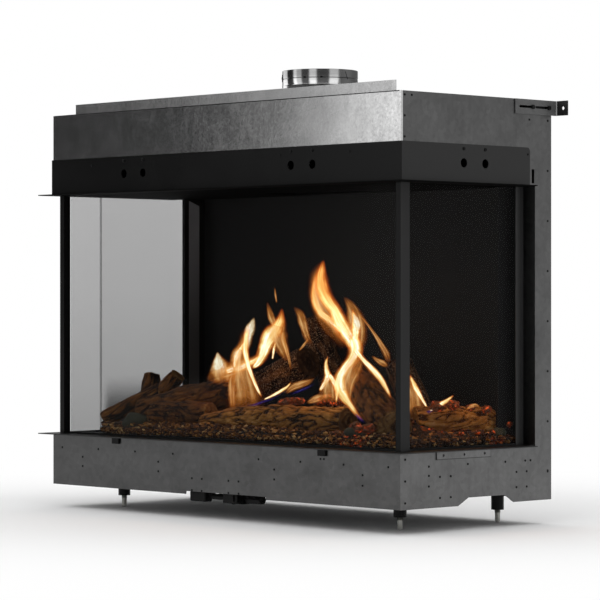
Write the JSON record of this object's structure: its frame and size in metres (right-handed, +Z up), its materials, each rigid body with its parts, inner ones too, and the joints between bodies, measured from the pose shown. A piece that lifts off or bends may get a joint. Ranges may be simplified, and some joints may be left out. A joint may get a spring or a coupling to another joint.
{
  "type": "built-in gas fireplace",
  "caption": "Three-sided built-in gas fireplace: steel casing, glass front and sides, ceramic log bed, concentric flue collar, wall brackets and levelling feet.",
  "frame": {"origin": "centre of the bounding box in plan, on the floor under the levelling feet", "axes": "+X to the right seen from the front, +Y to the rear, +Z up; the long window faces -Y"},
  "size_m": [1.0994, 0.458, 0.911],
  "materials": {
    "galvanised_sheet": "zinc spangle, satin",
    "dark_galvanised_sheet": "dark zinc spangle, satin",
    "black_painted_steel": "satin black, heat resistant",
    "black_chamber_lining": "smooth black, slightly reflecting",
    "clear_glass": "polished ceramic glass",
    "bright_steel": "bright stainless",
    "zinc_plated_steel": "zinc plated",
    "burner_brass": "plain",
    "ceramic_bark": "matt ceramic fibre painted as bark",
    "ceramic_charred": "matt ceramic fibre painted as charred wood",
    "ember_chips": "loose chips and ember pieces",
    "black_plastic": "black"
  },
  "bodies": {
    "casing": {"base_floor": "dark_galvanised_sheet", "base_front_panel": "dark_galvanised_sheet", "bracket_studs_left": "zinc_plated_steel", "bracket_studs_right": "zinc_plated_steel", "brown_log": "ceramic_bark", "burner_deck": "zinc_plated_steel", "burner_pan": "zinc_plated_steel", "corner_post_left": "black_painted_steel", "corner_post_right": "black_painted_steel", "ember_bed": "ember_chips", "firebox_back": "black_chamber_lining", "firebox_jamb_left": "black_chamber_lining", "firebox_jamb_right": "black_chamber_lining", "flue_collar": "bright_steel", "flue_hood": "dark_galvanised_sheet", "forked_log": "ceramic_bark", "front_bark_log": "ceramic_bark", "front_clip_left": "black_painted_steel", "front_clip_right": "black_painted_steel", "gas_valve": "black_plastic", "glass_rail": "black_painted_steel", "inclined_log": "ceramic_charred", "inner_flue": "bright_steel", "leg_sleeve_front_left": "black_painted_steel", "leg_sleeve_front_right": "black_painted_steel", "leg_sleeve_rear_left": "black_painted_steel", "leg_sleeve_rear_right": "black_painted_steel", "lower_sill_plate": "black_painted_steel", "pilot_burner": "burner_brass", "rear_glass_strip_left": "black_painted_steel", "rear_glass_strip_right": "black_painted_steel", "rear_panel": "dark_galvanised_sheet", "rear_right_log": "ceramic_charred", "receiver_box": "black_plastic", "right_bark_log": "ceramic_bark", "right_log": "ceramic_bark", "side_frame_left": "dark_galvanised_sheet", "side_frame_right": "dark_galvanised_sheet", "side_glass_left": "clear_glass", "side_glass_right": "clear_glass", "side_tab_left": "dark_galvanised_sheet", "side_tab_right": "dark_galvanised_sheet", "supply_pipe": "bright_steel", "top_cover": "dark_galvanised_sheet", "top_lip": "galvanised_sheet", "trim_band_front": "black_painted_steel", "trim_band_left": "black_painted_steel", "trim_band_right": "black_painted_steel", "upper_front_panel": "galvanised_sheet", "upper_sill_plate": "black_painted_steel", "upright_log": "ceramic_charred"},
    "front_glass": {"front_glass": "clear_glass"},
    "valve_knob": {"valve_knob": "black_plastic"},
    "wall_bracket_left": {"wall_bracket_left": "black_painted_steel"},
    "wall_bracket_right": {"wall_bracket_right": "black_painted_steel"},
    "levelling_stud_front_left": {"levelling_stud_front_left": "zinc_plated_steel"},
    "levelling_stud_front_right": {"levelling_stud_front_right": "zinc_plated_steel"},
    "levelling_stud_rear_left": {"levelling_stud_rear_left": "zinc_plated_steel"},
    "levelling_stud_rear_right": {"levelling_stud_rear_right": "zinc_plated_steel"}
  },
  "joints": [
    {"name": "front_glass_lift_out", "type": "slide", "parent": "casing", "child": "front_glass", "axis": [0, -1, 0], "range_m": [0, 0.12]},
    {"name": "levelling_front_left", "type": "slide", "parent": "casing", "child": "levelling_stud_front_left", "axis": [0, 0, 1], "range_m": [-0.014, 0.02]},
    {"name": "levelling_front_right", "type": "slide", "parent": "casing", "child": "levelling_stud_front_right", "axis": [0, 0, 1], "range_m": [-0.014, 0.02]},
    {"name": "levelling_rear_left", "type": "slide", "parent": "casing", "child": "levelling_stud_rear_left", "axis": [0, 0, 1], "range_m": [-0.014, 0.02]},
    {"name": "levelling_rear_right", "type": "slide", "parent": "casing", "child": "levelling_stud_rear_right", "axis": [0, 0, 1], "range_m": [-0.014, 0.02]},
    {"name": "wall_bracket_left_slide", "type": "slide", "parent": "casing", "child": "wall_bracket_left", "axis": [0, 1, 0], "range_m": [0, 0.036]},
    {"name": "wall_bracket_right_slide", "type": "slide", "parent": "casing", "child": "wall_bracket_right", "axis": [0, 1, 0], "range_m": [0, 0.036]},
    {"name": "valve_knob_turn", "type": "hinge", "parent": "casing", "child": "valve_knob", "pos_m": [0.04, -0.19, 0.0447], "axis": [0, -1, 0], "range_deg": [0, 90]}
  ]
}
